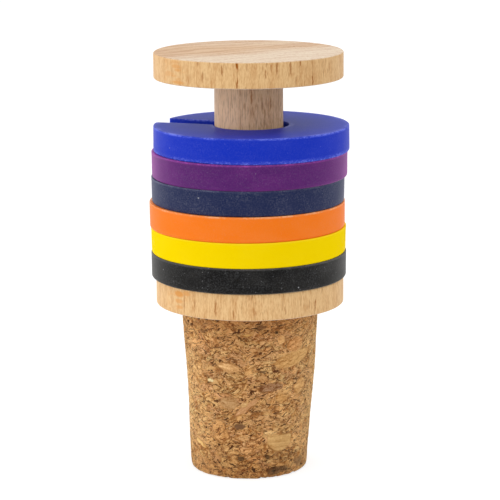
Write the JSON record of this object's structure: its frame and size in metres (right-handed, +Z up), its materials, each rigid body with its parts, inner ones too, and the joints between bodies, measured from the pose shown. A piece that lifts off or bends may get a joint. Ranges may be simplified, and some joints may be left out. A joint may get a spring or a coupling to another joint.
{
  "type": "bottle stopper",
  "caption": "Bottle stopper with a tapered cork plug under a turned wooden spool, whose spindle carries a stack of split silicone rings for marking glasses.",
  "frame": {"origin": "centre of the cork plug's tip face, which the stopper stands on", "axes": "+Z up along the spindle, towards the top flange; -Y towards the viewer of the picture"},
  "size_m": [0.0319, 0.0313, 0.0674],
  "materials": {
    "beech": "bare turned beech, fine sanded",
    "cork": "agglomerated cork, ground",
    "black_silicone": "semi-matte silicone",
    "yellow_silicone": "semi-matte silicone",
    "orange_silicone": "semi-matte silicone",
    "navy_silicone": "semi-matte silicone",
    "purple_silicone": "semi-matte silicone",
    "blue_silicone": "semi-matte silicone"
  },
  "bodies": {
    "root": {"turned_spool": "beech", "cork_plug": "cork", "marker_ring_black": "black_silicone", "marker_ring_yellow": "yellow_silicone", "marker_ring_orange": "orange_silicone", "marker_ring_navy": "navy_silicone", "marker_ring_purple": "purple_silicone", "marker_ring_blue": "blue_silicone"}
  },
  "joints": []
}
